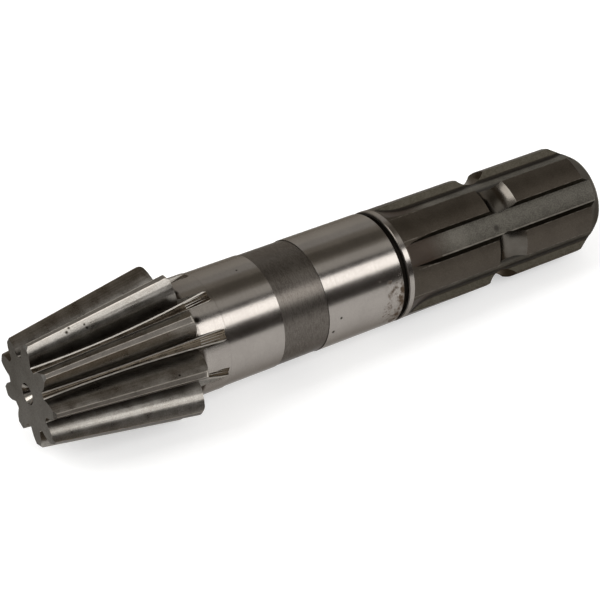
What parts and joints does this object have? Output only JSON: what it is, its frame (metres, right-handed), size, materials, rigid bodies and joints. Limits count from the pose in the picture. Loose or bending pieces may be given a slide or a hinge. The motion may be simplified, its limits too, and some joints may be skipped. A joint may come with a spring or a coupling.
{
  "type": "drive shaft",
  "caption": "Steel drive shaft with a straight bevel pinion on one end, ground bearing seats, a snap ring groove and a splined power take-off end.",
  "frame": {"origin": "on the shaft's axis, at the middle of the ground bearing seat beside the pinion", "axes": "+X along the shaft's axis towards the splined end; +Z through the middle of one pinion tooth, so the shaft lies on the two teeth either side of a gap that points down"},
  "size_m": [0.1973, 0.0466, 0.046],
  "materials": {
    "machined_steel": "case-hardened and oiled steel, with bright ground bearing seats"
  },
  "bodies": {
    "root": {"drive_shaft": "machined_steel"}
  },
  "joints": []
}
